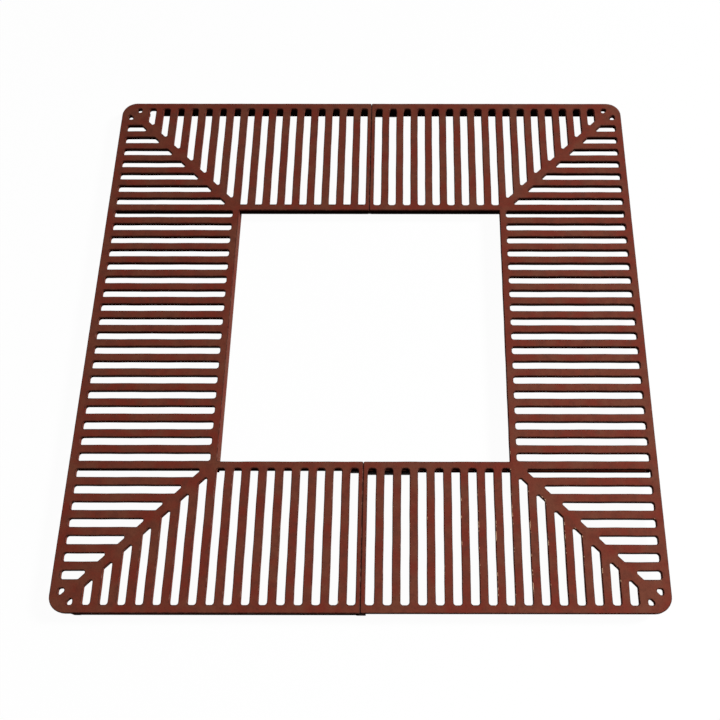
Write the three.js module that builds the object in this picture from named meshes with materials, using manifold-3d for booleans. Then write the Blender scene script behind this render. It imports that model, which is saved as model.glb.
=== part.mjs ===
// Square cast iron tree grate in two halves, with the plates and screws that join them.
// Millimetres. +Z is up, X runs along the near side, Y runs to the far side. The origin is
// at the middle of the square, on the ground that the ribs and feet stand on.

import * as THREE from 'three';
import { mergeVertices } from 'three/addons/utils/BufferGeometryUtils.js';
import Module from 'manifold-3d';

// Whole grate
const sideLength = 1000;
const openingSide = 498;
const totalHeight = 30;
const outerCornerRadius = 28;

// Parting line between the halves, and the clearance of pieces that touch
const partingGap = 0.3;
const partingCornerRadius = 2.5;
const clearance = 0.3;
const cutOverrun = 1;

// Pierced deck
const deckThickness = 9;
const slotWidth = 14;
const slotPitch = 28.35;
const firstSlotMargin = 60;
const outerRim = 13;
const innerRim = 12;
const diagonalHalfOffset = 11;
const slotCornerRadius = 4.5;
const mitreTipRadius = 3;
const cornerHoleRadius = 3.5;
const cornerHoleRadiusShare = 0.25;

// Ribs and feet under the deck
const ribSetBack = 0.3;
const spineSetBackOfRightHalf = 3.5;
const innerRibDepth = 15.5;
const nearRibOverhang = 1.3;
const farRibOverhang = 3.8;
const outerRibDepth = 26;
const edgeGapOfInsetRib = 4;
const flushRibStart = 40;
const insetRibStart = 75;
const footStart = 35;
const footLength = 12;
const footThickness = 7;

// Joint plates, which are screwed to the right half and reach under the left one
const tongueTipCut = 2;

const innerPlateThickness = 4;
const innerPlateLength = 88;
const innerPlateWidth = 15;
const innerPlateSetBack = 3.5;
const innerTongueLength = 27;
const innerTongueStep = 3;

const outerPlateThickness = 3;
const outerPlateLength = 62;
const outerPlateWidth = 7.5;
const outerPlateSetBack = 4;
const outerTongueLength = 9;
const outerHeadLength = 8;

// Countersunk screws of the joint plates, M4 at the inner ones and M3 at the outer ones
const screwCount = 3;
const innerScrewDiameter = 4;
const innerScrewHeadDiameter = 7.6;
const innerScrewLength = 14;
const innerSocketWidth = 2.5;
const innerSocketDepth = 1.5;
const innerScrewInset = 8.4;
const firstInnerScrew = 16;
const lastInnerScrewFromEnd = 15.3;

const outerScrewDiameter = 3;
const outerScrewHeadDiameter = 5.6;
const outerScrewLength = 12;
const outerSocketWidth = 2;
const outerSocketDepth = 1.2;
const outerScrewInset = 7.7;
const firstOuterScrew = 18;
const lastOuterScrewFromEnd = 8;

const holeBeyondScrew = 1.5;
const screwTipChamfer = 0.6;
const screwHeadSink = 0.3;

// Facets of round stretches
const slotCornerSteps = 3;
const outerCornerSteps = 8;
const roundSides = 16;
const hexSides = 6;

// Places worked out from the sizes above
const halfSide = sideLength / 2;
const halfOpening = openingSide / 2;
const partingX = -partingGap / 2;
const innerRibBottom = totalHeight - innerRibDepth;
const outerRibBottom = totalHeight - outerRibDepth;
const deckBottom = totalHeight - deckThickness;
const ribTop = totalHeight - deckThickness / 2;
const slotEnd = halfSide - outerRim;
const slotStart = halfOpening + innerRim;

const wasm = await Module();
wasm.setup();

// A closed three.js geometry as a solid that can be joined and cut
function toSolid(geometry) {
  const bare = geometry.index ? geometry.toNonIndexed() : geometry.clone();
  bare.deleteAttribute('normal');
  bare.deleteAttribute('uv');
  const merged = mergeVertices(bare);
  return new wasm.Manifold(new wasm.Mesh({
    numProp: 3,
    vertProperties: new Float32Array(merged.attributes.position.array),
    triVerts: new Uint32Array(merged.index.array),
  }));
}

// A solid back as a three.js geometry
function toGeometry(solid) {
  const result = solid.getMesh();
  const geometry = new THREE.BufferGeometry();
  geometry.setAttribute('position', new THREE.BufferAttribute(result.vertProperties, result.numProp));
  geometry.setIndex(new THREE.BufferAttribute(result.triVerts, 1));
  geometry.computeVertexNormals();
  return geometry;
}

// A box solid between two corners
function boxSolid(low, high) {
  const geometry = new THREE.BoxGeometry(high[0] - low[0], high[1] - low[1], high[2] - low[2]);
  geometry.translate((low[0] + high[0]) / 2, (low[1] + high[1]) / 2, (low[2] + high[2]) / 2);
  return toSolid(geometry);
}

// A plan outline raised from a bottom height to a top height
function prism(outline, bottom, top, holes = []) {
  const shape = new THREE.Shape(outline);
  shape.holes = holes.map((points) => new THREE.Path(points));
  const geometry = new THREE.ExtrudeGeometry(shape, { depth: top - bottom, bevelEnabled: false });
  geometry.translate(0, 0, bottom);
  return geometry;
}

// A profile of [radius, height] pairs turned about a vertical axis at a place
function turned(profile, x, y) {
  const geometry = new THREE.LatheGeometry(profile.map(([r, z]) => new THREE.Vector2(r, z)), roundSides);
  geometry.rotateX(Math.PI / 2);
  geometry.translate(x, y, 0);
  return geometry;
}

// A hexagonal bar between two heights, by its width across flats
function hexBar(width, bottom, top, x, y) {
  const cornerRadius = width / 2 / Math.cos(Math.PI / hexSides);
  const geometry = new THREE.CylinderGeometry(cornerRadius, cornerRadius, top - bottom, hexSides);
  geometry.rotateX(Math.PI / 2);
  geometry.translate(x, y, (bottom + top) / 2);
  return geometry;
}

// The corners of an outline, each [x, y, radius, steps], with its round corners drawn as arcs
function roundedOutline(corners) {
  const points = [];
  corners.forEach(([x, y, radius, steps], i) => {
    const corner = new THREE.Vector2(x, y);
    if (!radius) {
      points.push(corner);
      return;
    }
    const before = corners[(i + corners.length - 1) % corners.length];
    const after = corners[(i + 1) % corners.length];
    const toBefore = new THREE.Vector2(before[0] - x, before[1] - y).normalize();
    const toAfter = new THREE.Vector2(after[0] - x, after[1] - y).normalize();
    const halfAngle = Math.acos(THREE.MathUtils.clamp(toBefore.dot(toAfter), -1, 1)) / 2;
    const middle = toBefore.clone().add(toAfter).normalize();
    const centre = corner.clone().addScaledVector(middle, radius / Math.sin(halfAngle));
    const start = corner.clone().addScaledVector(toBefore, radius / Math.tan(halfAngle)).sub(centre);
    const turn = Math.PI - 2 * halfAngle;
    const sense = Math.sign(start.cross(corner.clone().sub(centre)));
    for (let step = 0; step <= steps; step += 1) {
      const spoke = start.clone().rotateAround(new THREE.Vector2(), sense * turn * step / steps);
      points.push(centre.clone().add(spoke));
    }
  });
  return points;
}

// The left half's deck outline, with its square notch for the trunk
function deckOutline() {
  const outer = [outerCornerRadius, outerCornerSteps];
  const parting = [partingCornerRadius, slotCornerSteps];
  return roundedOutline([
    [partingX, -halfSide, ...parting],
    [partingX, -halfOpening, ...parting],
    [-halfOpening, -halfOpening, 0, 0],
    [-halfOpening, halfOpening, 0, 0],
    [partingX, halfOpening, ...parting],
    [partingX, halfSide, ...parting],
    [-halfSide, halfSide, ...outer],
    [-halfSide, -halfSide, ...outer],
  ]);
}

// The leg of the three-cornered hole that a slot near the corner comes down to: across is the
// distance of its middle from the side that it runs beside. Without a leg there is no hole
function cornerHoleLeg(across) {
  return across + slotWidth / 2 - diagonalHalfOffset - outerRim;
}

// One slot in a corner's own measures. It runs from the outer rim to the diagonal bar or to the
// inner rim, and the first one is so short that only a small three-cornered hole is left of it
function slotCorners(across) {
  const left = across - slotWidth / 2;
  const right = across + slotWidth / 2;
  const near = outerRim;
  const end = halfSide - slotStart;
  const round = [slotCornerRadius, slotCornerSteps];
  const tip = [mitreTipRadius, slotCornerSteps];
  const mitreLeft = left - diagonalHalfOffset;
  const mitreRight = right - diagonalHalfOffset;
  if (mitreLeft - near < slotCornerRadius + mitreTipRadius) {
    const radius = Math.min(cornerHoleRadius, cornerHoleLeg(across) * cornerHoleRadiusShare);
    const small = [radius, slotCornerSteps];
    return [[near + diagonalHalfOffset, near, ...small], [right, near, ...small],
      [right, mitreRight, ...small]];
  }
  if (mitreRight < end) {
    return [[left, near, ...round], [right, near, ...round], [right, mitreRight, ...tip],
      [left, mitreLeft, ...tip]];
  }
  return [[left, near, ...round], [right, near, ...round], [right, end, ...round], [left, end, ...round]];
}

// The slots that run to the near or far side, side being -1 or 1
function endSlots(side) {
  const slots = [];
  for (let across = firstSlotMargin - slotPitch; across < halfSide - slotWidth / 2; across += slotPitch) {
    if (cornerHoleLeg(across) > 0) {
      slots.push(slotCorners(across).map(([u, v, radius, steps]) => (
        [u - halfSide, side * (halfSide - v), radius, steps])));
    }
  }
  return slots;
}

// The slots that run to the left side, in pairs about the middle of the side
function sideSlots() {
  const slots = [];
  for (let middle = slotPitch / 2; cornerHoleLeg(halfSide - middle) > 0; middle += slotPitch) {
    for (const side of [-1, 1]) {
      slots.push(slotCorners(halfSide - middle).map(([u, v, radius, steps]) => (
        [v - halfSide, side * (halfSide - u), radius, steps])));
    }
  }
  return slots;
}

// The ribs and feet of a half as it lies on the left: the deep rib beside the trunk, which is
// flush with the rim or set back from it, the cross rib of the near side and the thicker one of
// the far side, which stand out under the slots, the outer rib of the near side, which is flush
// with the edge, and that of the far side, which is set in from it, and at each outer corner a
// foot that lies as far in as the side's outer rib
function ribsAndFeet(spineSetBack) {
  const ribEnd = partingX - partingCornerRadius;
  const ribHead = slotStart - ribSetBack;
  const ribTail = slotEnd + ribSetBack;
  const spineFace = -halfOpening - spineSetBack;
  const ribs = [boxSolid([-ribHead, -ribHead, 0], [spineFace, ribHead, ribTop])];
  for (const side of [-1, 1]) {
    const overhang = side > 0 ? farRibOverhang : nearRibOverhang;
    const ys = [side * halfOpening, side * (ribHead + overhang)].sort((a, b) => a - b);
    ribs.push(boxSolid([-ribTail, ys[0], innerRibBottom], [ribEnd, ys[1], ribTop]));
  }
  ribs.push(boxSolid([flushRibStart - halfSide, -halfSide, outerRibBottom], [ribEnd, -ribTail, ribTop]));
  ribs.push(boxSolid([insetRibStart - halfSide, ribTail, outerRibBottom],
    [ribEnd, halfSide - edgeGapOfInsetRib, ribTop]));
  const footX = footStart - halfSide;
  for (const side of [-1, 1]) {
    const footEdge = side > 0 ? halfSide - edgeGapOfInsetRib : halfSide;
    const ys = [side * footEdge, side * (footEdge - footThickness)].sort((a, b) => a - b);
    ribs.push(boxSolid([footX, ys[0], 0], [footX + footLength, ys[1], ribTop]));
  }
  return ribs;
}

// The casting of a half as it lies on the left
function casting(spineSetBack) {
  const holes = [...endSlots(-1), ...endSlots(1), ...sideSlots()].map(roundedOutline);
  const deck = toSolid(prism(deckOutline(), deckBottom, totalHeight, holes));
  return ribsAndFeet(spineSetBack).reduce((body, rib) => body.add(rib), deck);
}

// The right half, which is such a casting turned half a turn
function turnedCasting() {
  return toSolid(toGeometry(casting(spineSetBackOfRightHalf)).rotateZ(Math.PI));
}

// A joint under an inner rim: where the rim's free edge is, the sense from there towards the
// slots, the underside of the rib that the plate lies on, and the sizes of the plate, of its
// tongue and of its screws. Distances are from the rim's edge or from the parting line
const innerJoint = {
  edge: halfOpening,
  towardsSlots: 1,
  seat: innerRibBottom,
  thickness: innerPlateThickness,
  length: innerPlateLength,
  rimSide: innerPlateSetBack,
  slotSide: innerPlateSetBack + innerPlateWidth,
  tongueLength: innerTongueLength,
  tongueRoot: -partingX,
  tongueRimSide: innerPlateSetBack,
  tongueSlotSide: innerPlateSetBack + innerPlateWidth - innerTongueStep,
  screwInset: innerScrewInset,
  firstScrew: firstInnerScrew,
  lastScrew: innerPlateLength - lastInnerScrewFromEnd,
  screwDiameter: innerScrewDiameter,
  screwHeadDiameter: innerScrewHeadDiameter,
  screwLength: innerScrewLength,
  socketWidth: innerSocketWidth,
  socketDepth: innerSocketDepth,
};

// The same for a joint under an outer rim, whose tongue comes out to the rim's edge
const outerJoint = {
  edge: halfSide,
  towardsSlots: -1,
  seat: outerRibBottom,
  thickness: outerPlateThickness,
  length: outerPlateLength,
  rimSide: outerPlateSetBack,
  slotSide: outerPlateSetBack + outerPlateWidth,
  tongueLength: outerTongueLength,
  tongueRoot: outerHeadLength,
  tongueRimSide: 0,
  tongueSlotSide: outerPlateSetBack + outerPlateWidth,
  screwInset: outerScrewInset,
  firstScrew: firstOuterScrew,
  lastScrew: outerPlateLength - lastOuterScrewFromEnd,
  screwDiameter: outerScrewDiameter,
  screwHeadDiameter: outerScrewHeadDiameter,
  screwLength: outerScrewLength,
  socketWidth: outerSocketWidth,
  socketDepth: outerSocketDepth,
};

// The four joints of the halves, side being -1 at the near side and 1 at the far side
const joints = [
  { name: 'near_outer', side: -1, ...outerJoint },
  { name: 'near_inner', side: -1, ...innerJoint },
  { name: 'far_inner', side: 1, ...innerJoint },
  { name: 'far_outer', side: 1, ...outerJoint },
];

// The Y of a point that lies a distance inside the rim's edge, on the slots' side of it
function insetY(joint, distance) {
  return joint.side * (joint.edge + joint.towardsSlots * distance);
}

// The places of a joint's screws, in plan
function screwPlaces(joint) {
  const y = insetY(joint, joint.screwInset);
  const pitch = (joint.lastScrew - joint.firstScrew) / (screwCount - 1);
  return Array.from({ length: screwCount }, (_, i) => [joint.firstScrew + i * pitch, y]);
}

// The height of a plate's underside
function plateBottom(joint) {
  return joint.seat - clearance - joint.thickness;
}

// A countersunk screw: a head that widens at 45 degrees, a shank with a chamfered tip, and a
// hexagon socket
function countersunkScrew(joint, [x, y]) {
  const head = plateBottom(joint) + screwHeadSink;
  const top = head + joint.screwLength;
  const headRadius = joint.screwHeadDiameter / 2;
  const shankRadius = joint.screwDiameter / 2;
  const profile = [[0, head], [headRadius, head], [shankRadius, head + headRadius - shankRadius],
    [shankRadius, top - screwTipChamfer], [shankRadius - screwTipChamfer, top], [0, top], [0, head]];
  const socket = hexBar(joint.socketWidth, head - cutOverrun, head + joint.socketDepth, x, y);
  return toSolid(turned(profile, x, y)).subtract(toSolid(socket));
}

// The drilling and countersink that a screw needs in the plate and the casting
function screwHole(joint, [x, y]) {
  const bottom = plateBottom(joint);
  const head = bottom + screwHeadSink;
  const end = head + joint.screwLength + holeBeyondScrew;
  const headRadius = joint.screwHeadDiameter / 2 + clearance;
  const shankRadius = joint.screwDiameter / 2 + clearance;
  const profile = [[0, bottom - cutOverrun], [headRadius, bottom - cutOverrun], [headRadius, head],
    [shankRadius, head + headRadius - shankRadius], [shankRadius, end], [0, end], [0, bottom - cutOverrun]];
  return toSolid(turned(profile, x, y));
}

// The right half, drilled for the screws of all four joints
function rightCasting() {
  let body = turnedCasting();
  for (const joint of joints) {
    for (const place of screwPlaces(joint)) {
      body = body.subtract(screwHole(joint, place));
    }
  }
  return body;
}

// A joint plate: a flat bar under the right half, with a tongue under the left one
function jointPlate(joint) {
  const tip = -joint.tongueLength;
  const corners = [
    [joint.length, joint.rimSide],
    [joint.length, joint.slotSide],
    [joint.tongueRoot, joint.slotSide],
    [joint.tongueRoot, joint.tongueSlotSide],
    [tip + tongueTipCut, joint.tongueSlotSide],
    [tip, joint.tongueSlotSide - tongueTipCut],
    [tip, joint.tongueRimSide + tongueTipCut],
    [tip + tongueTipCut, joint.tongueRimSide],
    [joint.tongueRoot, joint.tongueRimSide],
    [joint.tongueRoot, joint.rimSide],
  ];
  const apart = corners.filter(([x, distance], i) => {
    const before = corners[(i + corners.length - 1) % corners.length];
    return x !== before[0] || distance !== before[1];
  });
  const outline = apart.map(([x, distance]) => new THREE.Vector2(x, insetY(joint, distance)));
  const bottom = plateBottom(joint);
  let plate = toSolid(prism(outline, bottom, bottom + joint.thickness));
  for (const place of screwPlaces(joint)) {
    plate = plate.subtract(screwHole(joint, place));
  }
  return plate;
}

// Materials
const castIron = new THREE.MeshStandardMaterial({ color: 0x6a372a, roughness: 0.8, metalness: 0.2 });
const plateSteel = new THREE.MeshStandardMaterial({ color: 0x5c3429, roughness: 0.75, metalness: 0.3 });
const screwSteel = new THREE.MeshStandardMaterial({ color: 0x6f6a64, roughness: 0.5, metalness: 0.8 });

const group = new THREE.Group();

// One named piece of the grate
function place(name, solid, material) {
  const mesh = new THREE.Mesh(toGeometry(solid), material);
  mesh.name = name;
  group.add(mesh);
}

place('grate_half_left', casting(0), castIron);
place('grate_half_right', rightCasting(), castIron);

for (const joint of joints) {
  place(`joint_plate_${joint.name}`, jointPlate(joint), plateSteel);
  screwPlaces(joint).forEach((at, i) => {
    place(`screw_${joint.name}_${i + 1}`, countersunkScrew(joint, at), screwSteel);
  });
}

export default group;
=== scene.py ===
import math

import bmesh
import bpy
import numpy as np
from mathutils import Matrix, Vector


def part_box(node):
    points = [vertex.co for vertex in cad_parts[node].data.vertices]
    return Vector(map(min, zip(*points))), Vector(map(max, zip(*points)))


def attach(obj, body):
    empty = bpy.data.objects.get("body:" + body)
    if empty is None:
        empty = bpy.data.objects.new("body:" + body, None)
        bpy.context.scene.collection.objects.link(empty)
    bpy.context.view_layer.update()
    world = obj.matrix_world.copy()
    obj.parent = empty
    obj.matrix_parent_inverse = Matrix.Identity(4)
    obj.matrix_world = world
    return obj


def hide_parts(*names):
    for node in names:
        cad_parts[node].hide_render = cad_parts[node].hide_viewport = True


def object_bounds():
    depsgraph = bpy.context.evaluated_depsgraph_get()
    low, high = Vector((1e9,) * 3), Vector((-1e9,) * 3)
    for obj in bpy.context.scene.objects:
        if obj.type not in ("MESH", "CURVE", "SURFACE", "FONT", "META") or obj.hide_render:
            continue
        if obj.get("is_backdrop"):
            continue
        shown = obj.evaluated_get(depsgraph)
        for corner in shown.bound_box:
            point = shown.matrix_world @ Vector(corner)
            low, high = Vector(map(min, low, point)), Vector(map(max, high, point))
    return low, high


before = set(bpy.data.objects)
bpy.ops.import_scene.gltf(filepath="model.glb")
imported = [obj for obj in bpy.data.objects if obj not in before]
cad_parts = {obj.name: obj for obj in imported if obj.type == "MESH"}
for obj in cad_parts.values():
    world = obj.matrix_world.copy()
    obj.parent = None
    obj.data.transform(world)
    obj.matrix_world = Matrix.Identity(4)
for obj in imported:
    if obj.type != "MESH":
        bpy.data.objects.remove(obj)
cad_low, cad_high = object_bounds()

# The halves of the grate
# Each half is one sand casting in grey iron: a pierced deck with plain rims and a diagonal bar
# at each corner, and under it a deep rib beside the trunk, cross ribs, outer ribs and feet. Its
# arrises were rounded by the blast that cleaned it before it got its red-brown oxide coat.
MM = 0.001
half_low, half_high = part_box("grate_half_left")
HALF_SIDE = half_high.y
PARTING_X = half_high.x
TOP = half_high.z
HALF_OPENING = 249 * MM
OUTER_CORNER_RADIUS = 28 * MM
PARTING_CORNER_RADIUS = 2.5 * MM
TRUNK_CORNER_RADIUS = 1 * MM

SLOT_WIDTH = 14 * MM
SLOT_PITCH = 28.35 * MM
FIRST_SLOT_MARGIN = 60 * MM
OUTER_RIM = 13 * MM
INNER_RIM = 12 * MM
DIAGONAL_HALF_OFFSET = 11 * MM
SLOT_CORNER_RADIUS = 4.5 * MM
MITRE_TIP_RADIUS = 3 * MM
CORNER_HOLE_RADIUS = 3.5 * MM
SLOT_START = HALF_OPENING + INNER_RIM
SLOT_END = HALF_SIDE - OUTER_RIM

DECK_THICKNESS = 9 * MM
DECK_BOTTOM = TOP - DECK_THICKNESS
RIB_TOP = TOP - DECK_THICKNESS / 2
ARRIS_RADIUS = 1.5 * MM
ARRIS_UNEVENNESS_SHARE = 0.15
ARRIS_WAVE = 23 * MM
ARRIS_LEAN_SHARE = 0.7
ARRIS_RIPPLES_PER_WAVE = 2.7
ARRIS_SHELF = 0.3 * MM
SLOT_TAPER = 0.15 * MM
LOWER_ARRIS = 0.35 * MM

RIB_SET_BACK = 0.3 * MM
RIB_INSET = 0.1 * MM
RIB_TAPER_SHARE = 0.01
RIB_ROUND = 1.0 * MM
SPINE_SET_BACK_OF_RIGHT_HALF = 3.5 * MM
CROSS_RIB_BOTTOM = TOP - 15.5 * MM
NEAR_RIB_OVERHANG = 1.3 * MM
FAR_RIB_OVERHANG = 3.8 * MM
OUTER_RIB_BOTTOM = TOP - 26 * MM
FLUSH_RIB_START = 40 * MM
INSET_RIB_START = 75 * MM
INSET_RIB_EDGE = 4 * MM
FOOT_START = 35 * MM
FOOT_LENGTH = 12 * MM
FOOT_THICKNESS = 7 * MM

WAVER_AMOUNT = 0.12 * MM
WAVER_LENGTH = 95 * MM
WAVER_FADE = 22 * MM
WAVER_LEAN_SHARES = (0.4, -0.3)
WAVER_RIPPLES_PER_WAVE = (2.3, 2.1)
WAVER_RIPPLE_SHARE = 0.6
WAVER_RIPPLE_PHASE = 1.1
WAVER_PHASE = 2.0
RUN_LENGTH = 8 * MM
ARC_STEPS = 8
ARRIS_STEPS = 4
SHARP_ANGLE = math.radians(32)


def rounded_loop(corners, clockwise=False, run_length=RUN_LENGTH):
    """A closed path through corners of x, y and radius, with an arc at each one. The path turns
    at a steady rate along an arc, and its normal points to the right of it, into the air, when
    the path runs anticlockwise round metal or clockwise round a hole. Straight runs are divided.
    """
    corners = np.array(corners, dtype=float)
    x, y = corners[:, 0], corners[:, 1]
    area = np.sum(x * np.roll(y, -1) - np.roll(x, -1) * y)
    if (area > 0) == clockwise:
        corners = corners[::-1]
    at, radius = corners[:, None, :2], corners[:, None, 2:]
    leaving = np.roll(at, -1, 0) - at
    leaving /= np.linalg.norm(leaving, axis=2, keepdims=True)
    coming = np.roll(leaving, 1, 0)
    turn = np.arctan2(coming[..., 0] * leaving[..., 1] - coming[..., 1] * leaving[..., 0],
                      np.sum(coming * leaving, axis=2))[..., None]
    right = np.stack([coming[..., 1], -coming[..., 0]], axis=2)
    start = at - coming * radius * np.tan(np.abs(turn) / 2)
    centre = start - np.sign(turn) * radius * right
    angle = (turn * np.linspace(0, 1, ARC_STEPS + 1)[None, :, None])[..., 0]
    normal = np.stack([right[..., 0] * np.cos(angle) - right[..., 1] * np.sin(angle),
                       right[..., 0] * np.sin(angle) + right[..., 1] * np.cos(angle)], axis=2)
    arcs = centre + np.sign(turn) * radius * normal
    runs = np.roll(arcs[:, :1], -1, 0) - arcs[:, -1:]
    parts = []
    for arc, across, run in zip(arcs, normal, runs):
        count = max(1, round(float(np.linalg.norm(run)) / run_length))
        share = (np.arange(1, count) / count)[:, None]
        parts.append(np.hstack([arc, across]))
        parts.append(np.hstack([arc[-1:] + run * share, np.repeat(across[-1:], count - 1, 0)]))
    return np.vstack(parts)


def wavered(loop):
    """Moves a loop by the slow unevenness of a wooden pattern: x by a sine along y and y by a sine
    along x, both leaning a little, and each by a quicker, smaller ripple along a diagonal. It
    fades out at the outer edges and at the parting line."""
    x, y = loop[:, 0], loop[:, 1]
    wave = 2 * math.pi / WAVER_LENGTH
    lean_x, lean_y = WAVER_LEAN_SHARES
    quick_x, quick_y = WAVER_RIPPLES_PER_WAVE
    edge = np.minimum(np.minimum(HALF_SIDE - np.abs(x), HALF_SIDE - np.abs(y)), PARTING_X - x)
    amount = WAVER_AMOUNT * np.clip(edge / WAVER_FADE, 0, 1)
    ripple_x = WAVER_RIPPLE_SHARE * np.sin(quick_x * wave * (y - x) + WAVER_RIPPLE_PHASE)
    ripple_y = WAVER_RIPPLE_SHARE * np.sin(quick_y * wave * (x + y))
    moved = loop.copy()
    moved[:, 0] += amount * (np.sin(wave * (y + lean_x * x)) + ripple_x)
    moved[:, 1] += amount * (np.sin(wave * (x + lean_y * y) + WAVER_PHASE) + ripple_y)
    return moved


def quarter(steps):
    """A quarter round of radius one, from flat to upright: its steps go out and then down."""
    angle = np.linspace(0, math.pi / 2, steps + 1)
    return np.stack([np.sin(angle) - 1, np.cos(angle) - 1], axis=1)


def deck_wall(loop, taper):
    """The section of the deck's wall at every point of a loop: a narrow shelf on the top, an
    arris whose radius swings with two sines of the place, a tapering wall and a lower chamfer."""
    x, y = loop[:, 0], loop[:, 1]
    wave = 2 * math.pi / ARRIS_WAVE
    ripple = np.sin(ARRIS_RIPPLES_PER_WAVE * wave * (y - x))
    swing = np.sin(wave * (x + ARRIS_LEAN_SHARE * y)) + ripple
    radius = ARRIS_RADIUS * (1 + ARRIS_UNEVENNESS_SHARE / 2 * swing)
    arris = quarter(ARRIS_STEPS)[:, None] * radius[None, :, None] + [0, TOP]
    shelf = arris[:1] - [ARRIS_SHELF, 0]
    lower = np.array([[-taper, DECK_BOTTOM + LOWER_ARRIS], [-taper - LOWER_ARRIS, DECK_BOTTOM]])
    return np.concatenate([shelf, arris, np.repeat(lower[:, None], len(loop), 1)])


def put(name, data):
    """Puts an object that holds this mesh, light or camera into the scene."""
    made = bpy.data.objects.new(name, data)
    bpy.context.scene.collection.objects.link(made)
    return made


def smooth(mesh):
    """Shades a mesh smooth, but for the edges where it turns by more than the sharp angle."""
    mesh.shade_smooth()
    mesh.set_sharp_from_angle(angle=SHARP_ANGLE)


def shell(name, loops, walls):
    """A closed body: for each loop a wall whose point is the loop's point, moved along its normal
    by the wall's first number, at the wall's second number, and a flat face between all the
    loops at the top and at the bottom."""
    points, quads, count = [], [], 0
    for loop, section in zip(loops, walls):
        rows, columns = section.shape[0], len(loop)
        wall = np.empty((rows, columns, 3))
        wall[..., :2] = loop[None, :, :2] + loop[None, :, 2:] * section[..., :1]
        wall[..., 2] = section[..., 1]
        index = np.arange(rows * columns).reshape(rows, columns) + count
        beside = np.roll(index, -1, axis=1)
        faces = np.stack([index[:-1], index[1:], beside[1:], beside[:-1]], axis=-1)
        quads.append(faces.reshape(-1, 4))
        points.append(wall.reshape(-1, 3))
        count += rows * columns
    mesh = bpy.data.meshes.new(name)
    mesh.from_pydata(np.vstack(points), [], np.vstack(quads))
    body = bmesh.new()
    body.from_mesh(mesh)
    open_edges = [edge for edge in body.edges if edge.is_boundary]
    heights = np.vstack(points)[:, 2]
    middle = (heights.min() + heights.max()) / 2
    for upper in (True, False):
        rim = [edge for edge in open_edges if (edge.verts[0].co.z > middle) == upper]
        bmesh.ops.triangle_fill(body, use_beauty=True, edges=rim, normal=(0, 0, 1 if upper else -1))
    bmesh.ops.recalc_face_normals(body, faces=body.faces)
    body.to_mesh(mesh)
    body.free()
    return put(name, mesh)


def slot_corners(across):
    """One slot in a corner's own measures, across being its middle's distance from the side that
    it runs beside: mitred at the diagonal bar, square at the inner rim, or a three-cornered hole."""
    left, right = across - SLOT_WIDTH / 2, across + SLOT_WIDTH / 2
    near, end = OUTER_RIM, HALF_SIDE - SLOT_START
    mitre_left, mitre_right = left - DIAGONAL_HALF_OFFSET, right - DIAGONAL_HALF_OFFSET
    if mitre_left - near < SLOT_CORNER_RADIUS + MITRE_TIP_RADIUS:
        return [(near + DIAGONAL_HALF_OFFSET, near, CORNER_HOLE_RADIUS),
                (right, near, CORNER_HOLE_RADIUS), (right, mitre_right, CORNER_HOLE_RADIUS)]
    if mitre_right < end:
        return [(left, near, SLOT_CORNER_RADIUS), (right, near, SLOT_CORNER_RADIUS),
                (right, mitre_right, MITRE_TIP_RADIUS), (left, mitre_left, MITRE_TIP_RADIUS)]
    return [(left, near, SLOT_CORNER_RADIUS), (right, near, SLOT_CORNER_RADIUS),
            (right, end, SLOT_CORNER_RADIUS), (left, end, SLOT_CORNER_RADIUS)]


outline = rounded_loop([
    (PARTING_X, -HALF_SIDE, PARTING_CORNER_RADIUS),
    (PARTING_X, -HALF_OPENING, PARTING_CORNER_RADIUS),
    (-HALF_OPENING, -HALF_OPENING, TRUNK_CORNER_RADIUS),
    (-HALF_OPENING, HALF_OPENING, TRUNK_CORNER_RADIUS),
    (PARTING_X, HALF_OPENING, PARTING_CORNER_RADIUS),
    (PARTING_X, HALF_SIDE, PARTING_CORNER_RADIUS),
    (-HALF_SIDE, HALF_SIDE, OUTER_CORNER_RADIUS),
    (-HALF_SIDE, -HALF_SIDE, OUTER_CORNER_RADIUS),
])
slots = []
for across in np.arange(FIRST_SLOT_MARGIN - SLOT_PITCH, HALF_SIDE - SLOT_WIDTH / 2, SLOT_PITCH):
    for side in (-1, 1):
        slots.append([(x - HALF_SIDE, side * (HALF_SIDE - y), radius)
                      for x, y, radius in slot_corners(across)])
for middle in np.arange(SLOT_PITCH / 2, SLOT_END - SLOT_WIDTH / 2, SLOT_PITCH):
    for side in (-1, 1):
        slots.append([(y - HALF_SIDE, side * (HALF_SIDE - x), radius)
                      for x, y, radius in slot_corners(HALF_SIDE - middle)])
deck_loops = [wavered(loop) for loop in [outline] + [rounded_loop(slot, True) for slot in slots]]
deck_walls = [deck_wall(deck_loops[0], 0)] + [deck_wall(loop, SLOT_TAPER) for loop in deck_loops[1:]]


def rib(low, high, bottom):
    """A rib or foot between two corners in plan: its wall tapers from the deck to its lower edge,
    which is a quarter round."""
    loop = rounded_loop([(low[0], low[1], RIB_ROUND), (high[0], low[1], RIB_ROUND),
                         (high[0], high[1], RIB_ROUND), (low[0], high[1], RIB_ROUND)])
    taper = RIB_TAPER_SHARE * (DECK_BOTTOM - bottom)
    lower = quarter(ARRIS_STEPS)[::-1] * [RIB_ROUND, -RIB_ROUND] + [-taper, bottom]
    wall = np.vstack([[[0, RIB_TOP], [0, DECK_BOTTOM]], lower, lower[-1:] - [ARRIS_SHELF, 0]])
    return shell("rib", [loop], [wall[:, None]])


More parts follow.
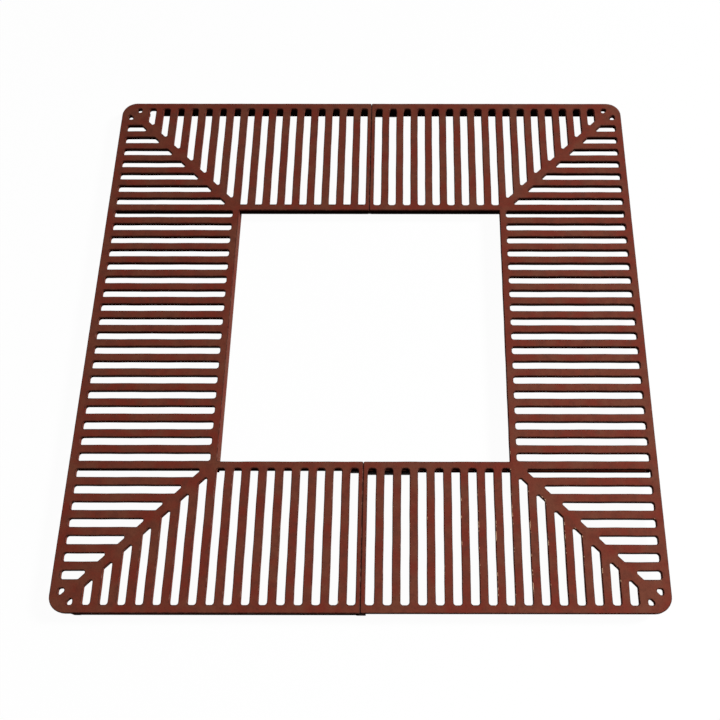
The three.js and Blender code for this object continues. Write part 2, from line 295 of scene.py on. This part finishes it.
def ribs_and_feet(spine_set_back):
    """The ribs and feet of a half as it lies on the left, each a hair inside the deck's edge."""
    edge, back = HALF_OPENING + RIB_INSET, SLOT_START - RIB_SET_BACK
    outer_back, outer_edge = SLOT_END + RIB_SET_BACK, HALF_SIDE - RIB_INSET
    end = PARTING_X - PARTING_CORNER_RADIUS
    made = [rib((-back, RIB_INSET - back), (-edge - spine_set_back, back - RIB_INSET), half_low.z)]
    for side, overhang, inset in ((-1, NEAR_RIB_OVERHANG, 0), (1, FAR_RIB_OVERHANG, INSET_RIB_EDGE)):
        low, high = sorted((side * edge, side * (back + overhang)))
        made.append(rib((-outer_back, low), (end, high), CROSS_RIB_BOTTOM))
        foot_edge = outer_edge - RIB_INSET - inset
        low, high = sorted((side * foot_edge, side * (foot_edge - FOOT_THICKNESS)))
        foot = FOOT_START - HALF_SIDE
        made.append(rib((foot, low), (foot + FOOT_LENGTH, high), half_low.z))
    made.append(rib((FLUSH_RIB_START - HALF_SIDE, -outer_edge), (end, -outer_back), OUTER_RIB_BOTTOM))
    made.append(rib((INSET_RIB_START - HALF_SIDE, outer_back), (end, HALF_SIDE - INSET_RIB_EDGE),
                    OUTER_RIB_BOTTOM))
    return made


# The shank's width as a share of the head's, on the M4 and M3 screws alike
SHANK_SHARE = 0.53
HOLE_CLEARANCE = 0.3 * MM
HOLE_BEYOND_SCREW = 1.5 * MM
HOLE_SIDES = 32


def drilling(low, high):
    """A round bar that bores a screw's hole, a little wider and longer than its shank."""
    middle = (low + high) / 2
    radius = (high.x - low.x) / 2 * SHANK_SHARE + HOLE_CLEARANCE
    angle = -np.linspace(0, 2 * math.pi, HOLE_SIDES, endpoint=False)
    across = np.stack([np.cos(angle), np.sin(angle)], axis=1)
    loop = np.hstack([across * radius + [middle.x, middle.y], across])
    return shell("drilling", [loop], [np.array([[[0, high.z + HOLE_BEYOND_SCREW]], [[0, low.z]]])])


screw_names = sorted(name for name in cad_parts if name.startswith("screw_"))

halves = {}
for name, turn, spine_set_back in (("left", 0, 0), ("right", math.pi, SPINE_SET_BACK_OF_RIGHT_HALF)):
    deck = shell("deck", deck_loops, deck_walls)
    ribs = ribs_and_feet(spine_set_back)
    for helper in [deck] + ribs:
        helper.data.transform(Matrix.Rotation(turn, 4, "Z"))
    drillings = [drilling(*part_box(screw)) for screw in screw_names] if name == "right" else []
    for helper in ribs + drillings:
        join = deck.modifiers.new("join", "BOOLEAN")
        join.operation = "DIFFERENCE" if helper in drillings else "UNION"
        join.solver = "MANIFOLD"
        join.object = helper
    joined = deck.evaluated_get(bpy.context.evaluated_depsgraph_get())
    mesh = bpy.data.meshes.new_from_object(joined)
    for helper in [deck] + ribs + drillings:
        bpy.data.objects.remove(helper)
    mesh.name = f"casting_{name}"
    mesh.materials.clear()
    smooth(mesh)
    halves[name] = put(f"casting_{name}", mesh)
    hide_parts(f"grate_half_{name}")
    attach(halves[name], f"{name}_half")


def linear(code):
    """A hex sRGB colour as linear red, green, blue and alpha."""
    channels = [int(code[i:i + 2], 16) / 255 for i in (1, 3, 5)]
    return (*[c / 12.92 if c <= 0.04045 else ((c + 0.055) / 1.055) ** 2.4 for c in channels], 1)


def blank(owner):
    """Empties the node tree of a material or a world and returns it."""
    owner.use_nodes = True
    owner.node_tree.nodes.clear()
    return owner.node_tree


def add(tree, kind, settings=None, inputs=None):
    """Adds a node, sets its own settings, and gives each input a value or a link."""
    made = tree.nodes.new(kind)
    for key, value in (settings or {}).items():
        setattr(made, key, value)
    for key, value in (inputs or {}).items():
        if isinstance(value, bpy.types.NodeSocket):
            tree.links.new(value, made.inputs[key])
        else:
            made.inputs[key].default_value = value
    return made


# Oxide-coated cast iron: blast-cleaned grey iron under a thin matt red-brown coat. The eye sees
# the grain of the sand through the coat, faint clouds of warmer and redder brown in it, arrises
# rubbed lighter with a few pale chips. Painted shade darkens and dulls the walls and underneath.
RED_COAT = "#6e2b1e"
BROWN_COAT = "#6b3929"
BLOTCHED_COAT = "#5e3024"
PITTED_COAT = "#3c1c17"
PAINTED_SHADE = "#100806"
ARRIS_SHADE_COLOUR = "#2c120e"
RUBBED_COAT = "#7c4a36"
CHIP = "#dcb492"
CLOUD_SIZE = 48 * MM
BLOTCH_SIZE = 16 * MM
RUBBED_PATCH_SIZE = 11 * MM
# The sand's grain is about 0.3 mm, drawn here at 2.2 mm so that it shows in a view of the whole
GRAIN_SIZE = 2.2 * MM
COAT_RELIEF = 0.25 * MM

iron = bpy.data.materials.new("oxide_coated_cast_iron")
tree = blank(iron)
surface = add(tree, "ShaderNodeTexCoord")
place = surface.outputs["Object"]
facing = add(tree, "ShaderNodeSeparateXYZ", inputs={"Vector": surface.outputs["Normal"]})
place_axes = add(tree, "ShaderNodeSeparateXYZ", inputs={"Vector": place})
height = place_axes.outputs["Z"]

clouds = add(tree, "ShaderNodeTexNoise", inputs={
    "Vector": place, "Scale": 1 / CLOUD_SIZE, "Detail": 2.0, "Roughness": 0.6})
cloud = add(tree, "ShaderNodeMapRange", inputs={
    "Value": clouds.outputs["Fac"], "From Min": 0.38, "From Max": 0.62})
coat = add(tree, "ShaderNodeMix", {"data_type": "RGBA"}, {
    "Factor": cloud.outputs["Result"], "A": linear(RED_COAT), "B": linear(BROWN_COAT)})
blotches = add(tree, "ShaderNodeTexNoise", inputs={
    "Vector": place, "Scale": 1 / BLOTCH_SIZE, "Detail": 3.0, "Roughness": 0.6})
blotch = add(tree, "ShaderNodeMapRange", inputs={
    "Value": blotches.outputs["Fac"], "From Min": 0.48, "From Max": 0.7, "To Max": 0.75})
coat = add(tree, "ShaderNodeMix", {"data_type": "RGBA"}, {
    "Factor": blotch.outputs["Result"], "A": coat.outputs["Result"], "B": linear(BLOTCHED_COAT)})
grain = add(tree, "ShaderNodeTexNoise", inputs={
    "Vector": place, "Scale": 1 / GRAIN_SIZE, "Detail": 3.0, "Roughness": 0.65})
pits = add(tree, "ShaderNodeMapRange", inputs={
    "Value": grain.outputs["Fac"], "From Min": 0.25, "From Max": 0.5, "To Min": 0.45, "To Max": 0.0})
coat = add(tree, "ShaderNodeMix", {"data_type": "RGBA"}, {
    "Factor": pits.outputs["Result"], "A": coat.outputs["Result"], "B": linear(PITTED_COAT)})

# Painted shade darkens the coat from the middle of the deck's thickness down, but for the faces
# turned to the lamp on the right
SHADE_TOP = TOP - 4 * MM
SHADE_BOTTOM = TOP - 12 * MM
low_painted_shade = add(tree, "ShaderNodeMapRange", inputs={
    "Value": height, "From Min": SHADE_BOTTOM, "From Max": SHADE_TOP, "To Min": 0.65, "To Max": 0.0})
away_from_lamp = add(tree, "ShaderNodeMapRange", inputs={
    "Value": facing.outputs["X"], "From Min": 0.2, "From Max": 0.6, "To Min": 1.0, "To Max": 0.0})
low_painted_shade = add(tree, "ShaderNodeMath", {"operation": "MULTIPLY"}, {
    0: low_painted_shade.outputs["Result"], 1: away_from_lamp.outputs["Result"]})

# Painted shade on the ledges of the ribs that stand out under the slots, weaker right of the trunk
LEDGE_TOP = TOP - 3 * MM
LEDGE_BOTTOM = TOP - 4 * MM
THINNING_LENGTH = 8 * MM
level = add(tree, "ShaderNodeMapRange", inputs={
    "Value": facing.outputs["Z"], "From Min": 0.3, "From Max": 0.7})
ledge_shade = add(tree, "ShaderNodeMapRange", inputs={
    "Value": height, "From Min": LEDGE_TOP, "From Max": LEDGE_BOTTOM, "To Max": 0.9})
ledge_shade = add(tree, "ShaderNodeMath", {"operation": "MULTIPLY"}, {
    0: level.outputs["Result"], 1: ledge_shade.outputs["Result"]})
weaker_right_of_trunk = add(tree, "ShaderNodeMapRange", inputs={
    "Value": place_axes.outputs["X"], "From Min": SLOT_START, "From Max": SLOT_START + THINNING_LENGTH,
    "To Min": 1.0, "To Max": 0.55})
ledge_shade = add(tree, "ShaderNodeMath", {"operation": "MULTIPLY"}, {
    0: ledge_shade.outputs[0], 1: weaker_right_of_trunk.outputs["Result"]})
shade = add(tree, "ShaderNodeMath", {"operation": "MAXIMUM"}, {
    0: low_painted_shade.outputs[0], 1: ledge_shade.outputs[0]})

# Painted shade on the walls turned to the near side, away from the lamp, starts just under the arris
NEARWARD_SHADE_TOP = TOP - 1.5 * MM
NEARWARD_SHADE_BOTTOM = TOP - 5 * MM
nearward_shade = add(tree, "ShaderNodeMapRange", inputs={
    "Value": facing.outputs["Y"], "From Min": -0.3, "From Max": -0.8})
under_arris = add(tree, "ShaderNodeMapRange", inputs={
    "Value": height, "From Min": NEARWARD_SHADE_BOTTOM, "From Max": NEARWARD_SHADE_TOP,
    "To Min": 0.85, "To Max": 0.0})
nearward_shade = add(tree, "ShaderNodeMath", {"operation": "MULTIPLY"}, {
    0: nearward_shade.outputs["Result"], 1: under_arris.outputs["Result"]})
shade = add(tree, "ShaderNodeMath", {"operation": "MAXIMUM"}, {
    0: shade.outputs[0], 1: nearward_shade.outputs[0]})
# The painted shade darkens the coat to near black, and takes the sheen away with it
coat = add(tree, "ShaderNodeMix", {"data_type": "RGBA"}, {
    "Factor": shade.outputs[0], "A": coat.outputs["Result"], "B": linear(PAINTED_SHADE)})
sheen = add(tree, "ShaderNodeMapRange", inputs={
    "Value": shade.outputs[0], "From Max": 0.5, "To Min": 0.12, "To Max": 0.0})

# The arrises are the faces that neither stand upright nor lie flat, near the top. Painted shade
# draws a dark line along them round every slot; they are rubbed lighter in patches
ARRIS_MASK_TOP = TOP - 1.8 * MM
ARRIS_MASK_BOTTOM = TOP - 2.4 * MM
outward = add(tree, "ShaderNodeMapRange", inputs={
    "Value": facing.outputs["Z"], "From Min": 0.2, "From Max": 0.55})
inward = add(tree, "ShaderNodeMapRange", inputs={
    "Value": facing.outputs["Z"], "From Min": 0.998, "From Max": 0.96})
upper = add(tree, "ShaderNodeMapRange", inputs={
    "Value": height, "From Min": ARRIS_MASK_BOTTOM, "From Max": ARRIS_MASK_TOP})
arris = add(tree, "ShaderNodeMath", {"operation": "MULTIPLY"}, {
    0: outward.outputs["Result"], 1: inward.outputs["Result"]})
arris = add(tree, "ShaderNodeMath", {"operation": "MULTIPLY"}, {
    0: arris.outputs[0], 1: upper.outputs["Result"]})
arris_shade = add(tree, "ShaderNodeMath", {"operation": "MULTIPLY"}, {0: arris.outputs[0], 1: 0.85})
coat = add(tree, "ShaderNodeMix", {"data_type": "RGBA"}, {
    "Factor": arris_shade.outputs[0], "A": coat.outputs["Result"], "B": linear(ARRIS_SHADE_COLOUR)})
rubbing = add(tree, "ShaderNodeTexNoise", inputs={
    "Vector": place, "Scale": 1 / RUBBED_PATCH_SIZE, "Detail": 3.0, "Roughness": 0.7})
rubbed = add(tree, "ShaderNodeMapRange", inputs={
    "Value": rubbing.outputs["Fac"], "From Min": 0.5, "From Max": 0.72, "To Max": 0.5})
rubbed = add(tree, "ShaderNodeMath", {"operation": "MULTIPLY"}, {
    0: rubbed.outputs["Result"], 1: arris.outputs[0]})
coat = add(tree, "ShaderNodeMix", {"data_type": "RGBA"}, {
    "Factor": rubbed.outputs[0], "A": coat.outputs["Result"], "B": linear(RUBBED_COAT)})

# The chips lie on the arrises that face left, thickest along the near right bars, where the
# grate was handled most. They are drawn out along the bars
CHIP_SIZE = 4 * MM
CHIP_SCALE_BY_AXIS = (1, 0.35, 1)
HANDLED_PLACE = (260 * MM, -380 * MM, TOP)
HANDLED_RADIUS = 100 * MM
UNTOUCHED_RADIUS = 250 * MM
along_bars = add(tree, "ShaderNodeMapping", inputs={"Vector": place, "Scale": CHIP_SCALE_BY_AXIS})
chipping = add(tree, "ShaderNodeTexNoise", inputs={
    "Vector": along_bars.outputs["Vector"], "Scale": 1 / CHIP_SIZE, "Detail": 2.0, "Roughness": 0.6})
away = add(tree, "ShaderNodeVectorMath", {"operation": "DISTANCE"}, {0: place, 1: HANDLED_PLACE})
handled = add(tree, "ShaderNodeMapRange", inputs={
    "Value": away.outputs["Value"], "From Min": HANDLED_RADIUS, "From Max": UNTOUCHED_RADIUS,
    "To Min": 0.585, "To Max": 0.72})
chipped = add(tree, "ShaderNodeMath", {"operation": "SUBTRACT"}, {
    0: chipping.outputs["Fac"], 1: handled.outputs["Result"]})
chipped = add(tree, "ShaderNodeMapRange", inputs={"Value": chipped.outputs[0], "From Max": 0.04})
leftward = add(tree, "ShaderNodeMapRange", inputs={
    "Value": facing.outputs["X"], "From Min": -0.01, "From Max": -0.06})
chipped = add(tree, "ShaderNodeMath", {"operation": "MULTIPLY"}, {
    0: chipped.outputs["Result"], 1: leftward.outputs["Result"]})
chipped = add(tree, "ShaderNodeMath", {"operation": "MULTIPLY"}, {
    0: chipped.outputs[0], 1: upper.outputs["Result"]})
coat = add(tree, "ShaderNodeMix", {"data_type": "RGBA"}, {
    "Factor": chipped.outputs[0], "A": coat.outputs["Result"], "B": linear(CHIP)})

roughness = add(tree, "ShaderNodeMapRange", inputs={
    "Value": blotches.outputs["Fac"], "From Min": 0.3, "From Max": 0.7, "To Min": 0.74, "To Max": 0.86})
roughness = add(tree, "ShaderNodeMath", {"operation": "SUBTRACT"}, {
    0: roughness.outputs["Result"], 1: rubbed.outputs[0]})
swell = add(tree, "ShaderNodeMath", {"operation": "MULTIPLY_ADD"}, {
    0: blotches.outputs["Fac"], 1: 3.0, 2: grain.outputs["Fac"]})
relief = add(tree, "ShaderNodeBump", inputs={
    "Strength": 0.7, "Distance": COAT_RELIEF, "Height": swell.outputs[0]})
shader = add(tree, "ShaderNodeBsdfPrincipled", inputs={
    "Base Color": coat.outputs["Result"], "Roughness": roughness.outputs[0],
    "Specular IOR Level": sheen.outputs["Result"], "Normal": relief.outputs["Normal"]})
add(tree, "ShaderNodeOutputMaterial", inputs={"Surface": shader.outputs["BSDF"]})
for half in halves.values():
    half.data.materials.append(iron)

# The joint plates
# Flat steel bars, 3 and 4 mm thick, sheared and drilled, that hold the halves together from below.
# They are screwed to the right half, and their tongues reach under the left one.
PLATE_ARRIS = 0.4 * MM
PLATE_ARRIS_STEPS = 2
PLATE_SHELF = 0.1 * MM
PLATE_CORNER_RADIUS = 0.6 * MM
PLATE_RUN = 6 * MM
TONGUE_TIP_CUT = 2 * MM
HEAD_SIDES = 48
INNER_TONGUE_STEP = 3 * MM
OUTER_HEAD_ROOT = 8 * MM
OUTER_PLATE_SET_BACK = 4 * MM


def plate_outline(low, high, outer, side):
    """The corners of a plate in plan. An inner plate narrows on the slots' side to its tongue,
    and an outer one widens on the rim's side to its head. Both have a tip with cut corners.
    Corners that fall together, and those where the edge doesn't turn, are left out."""
    rim, slot = (high.y, low.y) if (side > 0) == outer else (low.y, high.y)
    into = math.copysign(1, slot - rim)
    root = OUTER_HEAD_ROOT if outer else -PARTING_X
    body_rim = rim + into * OUTER_PLATE_SET_BACK if outer else rim
    tongue_slot = slot if outer else slot - into * INNER_TONGUE_STEP
    cut = TONGUE_TIP_CUT
    corners = [(high.x, body_rim), (high.x, slot), (root, slot), (root, tongue_slot),
               (low.x + cut, tongue_slot), (low.x, tongue_slot - into * cut),
               (low.x, rim + into * cut), (low.x + cut, rim), (root, rim), (root, body_rim)]
    apart = [at for at, before in zip(corners, corners[-1:] + corners[:-1]) if at != before]
    turning = [at for before, at, after in zip(apart[-1:] + apart[:-1], apart, apart[1:] + apart[:1])
               if not before[1] == at[1] == after[1]]
    return rounded_loop([(x, y, PLATE_CORNER_RADIUS) for x, y in turning], run_length=PLATE_RUN)


def ring(middle, radius):
    """A circle with its normals, clockwise, as the edge of a hole."""
    angle = -np.linspace(0, 2 * math.pi, HEAD_SIDES, endpoint=False)
    across = np.stack([np.cos(angle), np.sin(angle)], axis=1)
    return np.hstack([across * radius + [middle.x, middle.y], -across])


plates = []
for name in sorted(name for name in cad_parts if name.startswith("joint_plate_")):
    low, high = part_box(name)
    where = name.removeprefix("joint_plate_")
    side = 1 if where.startswith("far") else -1
    loops = [plate_outline(low, high, where.endswith("outer"), side)]
    edge = quarter(PLATE_ARRIS_STEPS) * PLATE_ARRIS
    shelf = -PLATE_ARRIS - PLATE_SHELF
    walls = [np.vstack([[[shelf, high.z]], edge + [0, high.z],
                        edge[::-1] * [1, -1] + [0, low.z], [[shelf, low.z]]])[:, None]]
    for screw in [own for own in screw_names if where in own]:
        screw_low, screw_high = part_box(screw)
        head = (screw_high.x - screw_low.x) / 2 + HOLE_CLEARANCE
        shank = (head - HOLE_CLEARANCE) * SHANK_SHARE + HOLE_CLEARANCE
        cone = head - shank
        loops.append(ring((screw_low + screw_high) / 2, shank))
        walls.append(np.array([[-ARRIS_SHELF, high.z], [0, high.z - ARRIS_SHELF],
                               [0, screw_low.z + cone], [-cone, screw_low.z], [-cone, low.z]])[:, None])
    plate = shell(f"flat_{where}", loops, walls)
    smooth(plate.data)
    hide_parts(name)
    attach(plate, "right_half")
    plates.append(plate)

# Primed hot-rolled flat steel: a thin brown-black primer over mill scale. The eye sees a smooth
# satin skin with streaks along the rolling direction, and rust that comes through in patches.
DARK_PRIMER = "#150c0a"
BROWN_PRIMER = "#21130f"
PRIMED_RUST = "#351a10"
STREAK_WIDTH = 2.5 * MM
STREAK_SCALE_BY_AXIS = (0.12, 1, 1)
RUST_PATCH_SIZE = 6 * MM
PRIMER_RELIEF = 0.1 * MM

flat_steel = bpy.data.materials.new("primed_flat_steel")
tree = blank(flat_steel)
place = add(tree, "ShaderNodeTexCoord").outputs["Object"]
drawn = add(tree, "ShaderNodeMapping", inputs={"Vector": place, "Scale": STREAK_SCALE_BY_AXIS})
streaks = add(tree, "ShaderNodeTexNoise", inputs={
    "Vector": drawn.outputs["Vector"], "Scale": 1 / STREAK_WIDTH, "Detail": 4.0, "Roughness": 0.6})
streak = add(tree, "ShaderNodeMapRange", inputs={
    "Value": streaks.outputs["Fac"], "From Min": 0.35, "From Max": 0.65})
primer = add(tree, "ShaderNodeMix", {"data_type": "RGBA"}, {
    "Factor": streak.outputs["Result"], "A": linear(DARK_PRIMER), "B": linear(BROWN_PRIMER)})
rusting = add(tree, "ShaderNodeTexNoise", inputs={
    "Vector": place, "Scale": 1 / RUST_PATCH_SIZE, "Detail": 4.0, "Roughness": 0.7})
rusted = add(tree, "ShaderNodeMapRange", inputs={
    "Value": rusting.outputs["Fac"], "From Min": 0.55, "From Max": 0.7, "To Max": 0.6})
primer = add(tree, "ShaderNodeMix", {"data_type": "RGBA"}, {
    "Factor": rusted.outputs["Result"], "A": primer.outputs["Result"], "B": linear(PRIMED_RUST)})
satin = add(tree, "ShaderNodeMapRange", inputs={
    "Value": streaks.outputs["Fac"], "From Min": 0.3, "From Max": 0.7, "To Min": 0.5, "To Max": 0.7})
relief = add(tree, "ShaderNodeBump", inputs={
    "Strength": 0.4, "Distance": PRIMER_RELIEF, "Height": streaks.outputs["Fac"]})
shader = add(tree, "ShaderNodeBsdfPrincipled", inputs={
    "Base Color": primer.outputs["Result"], "Roughness": satin.outputs["Result"],
    "Normal": relief.outputs["Normal"]})
add(tree, "ShaderNodeOutputMaterial", inputs={"Surface": shader.outputs["BSDF"]})
for plate in plates:
    plate.data.materials.append(flat_steel)

# The screws
# Countersunk steel socket screws, M4 at the inner plates and M3 at the outer ones, cold-headed
# and thread-rolled. They are driven from below through the plates into tapped holes.
THREAD_PITCH_SHARE = 0.175
THREAD_DEPTH_SHARE = 0.09
THREAD_ROWS_PER_PITCH = 6
TIP_CHAMFER = 0.6 * MM
HEAD_ARRIS = 0.25 * MM
SOCKET_WIDTH_SHARE = 0.33
SOCKET_DEPTH_SHARE = 0.2
SOCKET_FLOOR_RING_SHARE = 0.5
SOCKET_LEAD = 0.12 * MM


def screw_surface(low, high):
    """A screw, head down, as rings of radius and height about an upright axis, closed by a point
    at each end. The socket's rings are hexagons, whose radius is the half width over the cosine
    of the angle from the middle of the flat. The thread's radius falls from the crest by a
    triangle wave of the height over the pitch less the share of the turn."""
    middle = (low + high) / 2
    head = (high.x - low.x) / 2
    shank = head * SHANK_SHARE
    angle = np.linspace(0, 2 * math.pi, HEAD_SIDES, endpoint=False)
    flat = math.pi / 3
    hexagon = 1 / np.cos((angle + flat / 2) % flat - flat / 2)
    socket = head * SOCKET_WIDTH_SHARE * hexagon
    floor_z = low.z + 2 * head * SOCKET_DEPTH_SHARE
    circle = np.ones(HEAD_SIDES)
    rows = [(socket * SOCKET_FLOOR_RING_SHARE, floor_z), (socket, floor_z),
            (socket, low.z + SOCKET_LEAD), (socket + SOCKET_LEAD, low.z),
            (circle * (head - HEAD_ARRIS), low.z), (circle * head, low.z + HEAD_ARRIS)]
    start, end = low.z + HEAD_ARRIS + head - shank, high.z - TIP_CHAMFER
    pitch, depth = 2 * shank * THREAD_PITCH_SHARE, 2 * shank * THREAD_DEPTH_SHARE
    count = int((end - start) / pitch * THREAD_ROWS_PER_PITCH)
    for z in np.linspace(start, end, count):
        wave = np.abs(((z / pitch - angle / (2 * math.pi)) % 1) * 2 - 1)
        fade = min(1, (z - start) / pitch, (end - z) / pitch)
        rows.append((shank - depth * fade * wave, z))
    rows.append((circle * (shank - TIP_CHAMFER), high.z))
    radius = np.array([row[0] for row in rows])
    z = np.repeat(np.array([[row[1]] for row in rows]), HEAD_SIDES, axis=1)
    x, y = middle.x + radius * np.cos(angle), middle.y + radius * np.sin(angle)
    wall = np.stack([x, y, z], axis=-1)
    ends = [(middle.x, middle.y, floor_z), (middle.x, middle.y, high.z)]
    index = np.arange(len(rows) * HEAD_SIDES).reshape(len(rows), HEAD_SIDES)
    beside = np.roll(index, -1, axis=1)
    quads = np.stack([index[:-1], beside[:-1], beside[1:], index[1:]], axis=-1).reshape(-1, 4)
    first = np.full(HEAD_SIDES, index.size)
    fans = np.vstack([np.stack([beside[0], index[0], first], axis=1),
                      np.stack([index[-1], beside[-1], first + 1], axis=1)])
    return np.vstack([wall.reshape(-1, 3), ends]), quads.tolist() + fans.tolist()


screws = []
for name in screw_names:
    points, faces = screw_surface(*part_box(name))
    mesh = bpy.data.meshes.new(name.replace("screw", "socket_screw"))
    mesh.from_pydata(points, [], faces)
    smooth(mesh)
    screw = put(mesh.name, mesh)
    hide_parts(name)
    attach(screw, "right_half")
    screws.append(screw)

# Dulled zinc-plated steel: bright zinc gone grey outdoors. The eye sees a soft metal sheen and
# cloudy patches of white zinc bloom.
GREY_ZINC = "#8d8a86"
WHITE_BLOOM = "#b3b2ae"
BLOOM_SIZE = 1.8 * MM
BLOOM_RELIEF = 0.05 * MM

zinc = bpy.data.materials.new("dulled_zinc_plated_steel")
tree = blank(zinc)
place = add(tree, "ShaderNodeTexCoord").outputs["Object"]
blooming = add(tree, "ShaderNodeTexNoise", inputs={
    "Vector": place, "Scale": 1 / BLOOM_SIZE, "Detail": 4.0, "Roughness": 0.65})
bloom = add(tree, "ShaderNodeMapRange", inputs={
    "Value": blooming.outputs["Fac"], "From Min": 0.4, "From Max": 0.65})
plating = add(tree, "ShaderNodeMix", {"data_type": "RGBA"}, {
    "Factor": bloom.outputs["Result"], "A": linear(GREY_ZINC), "B": linear(WHITE_BLOOM)})
dull = add(tree, "ShaderNodeMapRange", inputs={
    "Value": bloom.outputs["Result"], "To Min": 0.35, "To Max": 0.62})
relief = add(tree, "ShaderNodeBump", inputs={
    "Strength": 0.3, "Distance": BLOOM_RELIEF, "Height": blooming.outputs["Fac"]})
shader = add(tree, "ShaderNodeBsdfPrincipled", inputs={
    "Base Color": plating.outputs["Result"], "Metallic": 1.0, "Roughness": dull.outputs["Result"],
    "Normal": relief.outputs["Normal"]})
add(tree, "ShaderNodeOutputMaterial", inputs={"Surface": shader.outputs["BSDF"]})
for screw in screws:
    screw.data.materials.append(zinc)

# The stage
# A plain pale floor, a hair under the feet. It glows white to the eye, with a trace of the
# grate's shadow left on it. It throws less light back up at the grate than it shows, as a floor
# out of the lamp's way would.
FLOOR_SIZE = 24.0
FLOOR_DROP = 0.2 * MM
FLOOR_IN_BOUNCED_LIGHT = "#3c3c3c"
FLOOR_IN_VIEW = "#f8f8f8"
FLOOR_GLOW_SHARE = 0.97


def in_view(tree):
    """One where the camera sees the surface, straight, in a mirror or through something clear,
    and nought where the surface only lights others."""
    rays = add(tree, "ShaderNodeLightPath")
    seen = add(tree, "ShaderNodeMath", {"operation": "MAXIMUM"}, {
        0: rays.outputs["Is Camera Ray"], 1: rays.outputs["Is Glossy Ray"]})
    seen = add(tree, "ShaderNodeMath", {"operation": "MAXIMUM"}, {
        0: seen.outputs[0], 1: rays.outputs["Is Transmission Ray"]})
    return seen.outputs[0]


reach = FLOOR_SIZE / 2
floor_z = cad_low.z - FLOOR_DROP
corners = [(x * reach, y * reach, floor_z) for x, y in ((-1, -1), (1, -1), (1, 1), (-1, 1))]
floor_mesh = bpy.data.meshes.new("floor")
floor_mesh.from_pydata(corners, [], [(0, 1, 2, 3)])
floor = put("floor", floor_mesh)
floor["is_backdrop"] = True
pale = bpy.data.materials.new("pale_floor")
tree = blank(pale)
seen = in_view(tree)
tone = add(tree, "ShaderNodeMix", {"data_type": "RGBA"}, {
    "Factor": seen, "A": linear(FLOOR_IN_BOUNCED_LIGHT), "B": linear(FLOOR_IN_VIEW)})
matt = add(tree, "ShaderNodeBsdfDiffuse", inputs={"Color": tone.outputs["Result"]})
white = add(tree, "ShaderNodeEmission", inputs={"Strength": 1.0})
glow = add(tree, "ShaderNodeMath", {"operation": "MULTIPLY"}, {0: seen, 1: FLOOR_GLOW_SHARE})
floor_mix = add(tree, "ShaderNodeMixShader", inputs={
    "Fac": glow.outputs[0], 1: matt.outputs[0], 2: white.outputs[0]})
add(tree, "ShaderNodeOutputMaterial", inputs={"Surface": floor_mix.outputs[0]})
floor_mesh.materials.append(pale)

# The light
# One soft lamp far to the right, a little beyond the grate and turned past its near side, so that
# its light falls off evenly, and a weak even sky, which shows white.
LAMP_PLACE = Vector((4.95, 1.2, 4.0))
LAMP_AIM = Vector((4.0, -8.0, 0))
LAMP_SIZE = 1.6
LAMP_POWER = 1150
SKY_STRENGTH = 0.08
lamp_data = bpy.data.lights.new("lamp", "AREA")
lamp_data.shape = "DISK"
lamp_data.size = LAMP_SIZE
lamp_data.energy = LAMP_POWER
lamp = put("lamp", lamp_data)
lamp.location = LAMP_PLACE
lamp.rotation_euler = (LAMP_AIM - LAMP_PLACE).to_track_quat("-Z", "Y").to_euler()

world = bpy.data.worlds.new("studio")
bpy.context.scene.world = world
tree = blank(world)
level = add(tree, "ShaderNodeMapRange", inputs={
    "Value": in_view(tree), "To Min": SKY_STRENGTH, "To Max": 1.0})
sky = add(tree, "ShaderNodeBackground", inputs={
    "Color": (1, 1, 1, 1), "Strength": level.outputs["Result"]})
add(tree, "ShaderNodeOutputWorld", inputs={"Surface": sky.outputs[0]})

# The camera
# A lens a little longer than normal, at standing eye height over the near side, a little right
# of the middle and tilted forward.
CAMERA_PLACE = (0.0851, -0.6952, 1.5263)
CAMERA_DEGREES = (22.907, 0.0336, 0.0763)
SENSOR_WIDTH = 36
LENS_LENGTH = 45.685
LENS_SHIFT = (-0.0731, 0.0007)
camera_data = bpy.data.cameras.new("camera")
camera_data.sensor_width = SENSOR_WIDTH
camera_data.lens = LENS_LENGTH
camera_data.shift_x, camera_data.shift_y = LENS_SHIFT
camera = put("camera", camera_data)
camera.location = CAMERA_PLACE
camera.rotation_euler = [math.radians(degrees) for degrees in CAMERA_DEGREES]
bpy.context.scene.camera = camera
bpy.context.scene.view_settings.view_transform = "Standard"

low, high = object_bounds()
